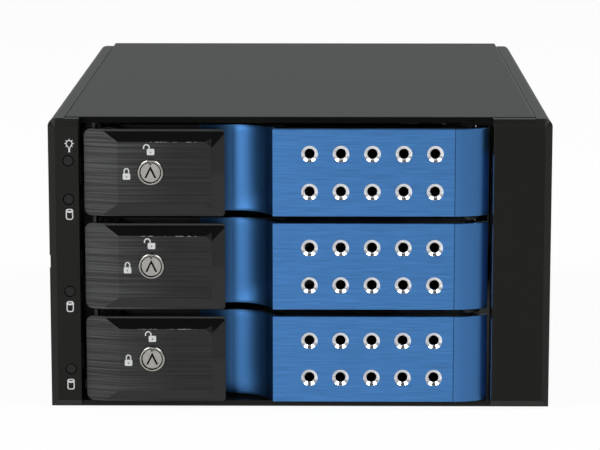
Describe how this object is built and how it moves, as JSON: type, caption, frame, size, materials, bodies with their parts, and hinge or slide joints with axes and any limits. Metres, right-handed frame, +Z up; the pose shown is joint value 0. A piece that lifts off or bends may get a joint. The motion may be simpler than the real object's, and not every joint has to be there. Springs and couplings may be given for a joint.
{
  "type": "hot swap drive cage",
  "caption": "Drive cage that fills two 5.25 inch bays, with hinged front doors, locking latch levers, backplane, ejector slides and rear fan",
  "frame": {"origin": "middle of the bounding box in X and Y, on the underside", "axes": "+X to the right seen from the front, +Y from the doors to the rear, +Z up"},
  "size_m": [0.1464, 0.202, 0.0856],
  "materials": {
    "painted_steel": "fine satin black powder coat",
    "bezel_plastic": "satin black anodised frame",
    "zinc_steel": "zinc plated sheet",
    "circuit_board": "green solder mask",
    "black_board": "black solder mask",
    "bright_steel": "bright turned steel",
    "black_plastic": "moulded black plastic",
    "white_plastic": "natural nylon",
    "component_plastic": "moulded component bodies",
    "dark_screw": "black oxide",
    "lamp_lens": "tinted lamp",
    "smoked_lens": "smoked light rod",
    "spring_steel": "spring steel",
    "blue_aluminium": "blue anodised, fine horizontal brushing on the flat face, bright hole rims",
    "black_aluminium": "black anodised, brushed middle, polished bevels",
    "nickel": "nickel plated"
  },
  "bodies": {
    "cage": {"lower_shell": "painted_steel", "top_cover": "painted_steel", "rear_panel": "painted_steel", "front_bezel": "bezel_plastic", "left_guide": "zinc_steel", "right_guide": "zinc_steel", "lower_shelf": "zinc_steel", "upper_shelf": "zinc_steel", "backplane_board": "circuit_board", "board_spacers": "bright_steel", "board_screws": "bright_steel", "drive_sockets": "black_plastic", "data_ports": "black_plastic", "power_sockets": "white_plastic", "board_components": "component_plastic", "fan_frame": "black_plastic", "fan_screws": "dark_screw", "lamp_board": "black_board", "indicator_lamps": "lamp_lens", "light_pipes": "smoked_lens", "rear_screws": "dark_screw", "bezel_screws": "dark_screw", "guide_rivets": "bright_steel", "hinge_rod": "bright_steel", "slide_rivets": "bright_steel", "catch_spring_1": "spring_steel", "catch_spring_2": "spring_steel", "catch_spring_3": "spring_steel"},
    "fan": {"fan_rotor": "black_plastic", "fan_shaft": "bright_steel"},
    "door_1": {"door_panel_1": "blue_aluminium", "door_carrier_1": "black_plastic", "latch_pin_1": "bright_steel", "latch_spring_1": "spring_steel"},
    "latch_1": {"latch_lever_1": "black_plastic", "latch_plate_1": "black_aluminium", "lock_sleeve_1": "nickel"},
    "lock_1": {"lock_barrel_1": "nickel", "lock_cam_1": "zinc_steel"},
    "ejector_1": {"ejector_slide_1": "zinc_steel"},
    "door_2": {"door_panel_2": "blue_aluminium", "door_carrier_2": "black_plastic", "latch_pin_2": "bright_steel", "latch_spring_2": "spring_steel"},
    "latch_2": {"latch_lever_2": "black_plastic", "latch_plate_2": "black_aluminium", "lock_sleeve_2": "nickel"},
    "lock_2": {"lock_barrel_2": "nickel", "lock_cam_2": "zinc_steel"},
    "ejector_2": {"ejector_slide_2": "zinc_steel"},
    "door_3": {"door_panel_3": "blue_aluminium", "door_carrier_3": "black_plastic", "latch_pin_3": "bright_steel", "latch_spring_3": "spring_steel"},
    "latch_3": {"latch_lever_3": "black_plastic", "latch_plate_3": "black_aluminium", "lock_sleeve_3": "nickel"},
    "lock_3": {"lock_barrel_3": "nickel", "lock_cam_3": "zinc_steel"},
    "ejector_3": {"ejector_slide_3": "zinc_steel"}
  },
  "joints": [
    {"name": "fan_spin", "type": "hinge", "parent": "cage", "child": "fan", "pos_m": [-0.0255, 0.08585, 0.0428], "axis": [0, 1, 0], "continuous": true},
    {"name": "door_1_hinge", "type": "hinge", "parent": "cage", "child": "door_1", "pos_m": [0.0498, -0.09315, 0.01465], "axis": [0, 0, 1], "range_deg": [0, 90], "deforming": ["catch_spring_1"]},
    {"name": "latch_1_lever", "type": "hinge", "parent": "door_1", "child": "latch_1", "pos_m": [-0.0557, -0.09515, 0.01465], "axis": [0, 0, -1], "range_deg": [0, 24], "stiffness_Nm_per_rad": 0.02, "deforming": ["latch_spring_1"]},
    {"name": "lock_1_key", "type": "hinge", "parent": "latch_1", "child": "lock_1", "pos_m": [-0.04325, -0.09715, 0.01495], "axis": [0, 1, 0], "range_deg": [-90, 0]},
    {"name": "ejector_1_slide", "type": "slide", "parent": "cage", "child": "ejector_1", "axis": [0, -1, 0], "range_m": [0, 0.0086]},
    {"name": "door_2_hinge", "type": "hinge", "parent": "cage", "child": "door_2", "pos_m": [0.0498, -0.09315, 0.0423], "axis": [0, 0, 1], "range_deg": [0, 90], "deforming": ["catch_spring_2"]},
    {"name": "latch_2_lever", "type": "hinge", "parent": "door_2", "child": "latch_2", "pos_m": [-0.0557, -0.09515, 0.0423], "axis": [0, 0, -1], "range_deg": [0, 24], "stiffness_Nm_per_rad": 0.02, "deforming": ["latch_spring_2"]},
    {"name": "lock_2_key", "type": "hinge", "parent": "latch_2", "child": "lock_2", "pos_m": [-0.04325, -0.09715, 0.0426], "axis": [0, 1, 0], "range_deg": [-90, 0]},
    {"name": "ejector_2_slide", "type": "slide", "parent": "cage", "child": "ejector_2", "axis": [0, -1, 0], "range_m": [0, 0.0086]},
    {"name": "door_3_hinge", "type": "hinge", "parent": "cage", "child": "door_3", "pos_m": [0.0498, -0.09315, 0.06995], "axis": [0, 0, 1], "range_deg": [0, 90], "deforming": ["catch_spring_3"]},
    {"name": "latch_3_lever", "type": "hinge", "parent": "door_3", "child": "latch_3", "pos_m": [-0.0557, -0.09515, 0.06995], "axis": [0, 0, -1], "range_deg": [0, 24], "stiffness_Nm_per_rad": 0.02, "deforming": ["latch_spring_3"]},
    {"name": "lock_3_key", "type": "hinge", "parent": "latch_3", "child": "lock_3", "pos_m": [-0.04325, -0.09715, 0.07025], "axis": [0, 1, 0], "range_deg": [-90, 0]},
    {"name": "ejector_3_slide", "type": "slide", "parent": "cage", "child": "ejector_3", "axis": [0, -1, 0], "range_m": [0, 0.0086]}
  ],
  "couplings": [
    {"joint": "ejector_1_slide", "follows": "door_1_hinge", "m_per_rad": 0.0054019},
    {"joint": "ejector_2_slide", "follows": "door_2_hinge", "m_per_rad": 0.0054019},
    {"joint": "ejector_3_slide", "follows": "door_3_hinge", "m_per_rad": 0.0054019}
  ]
}
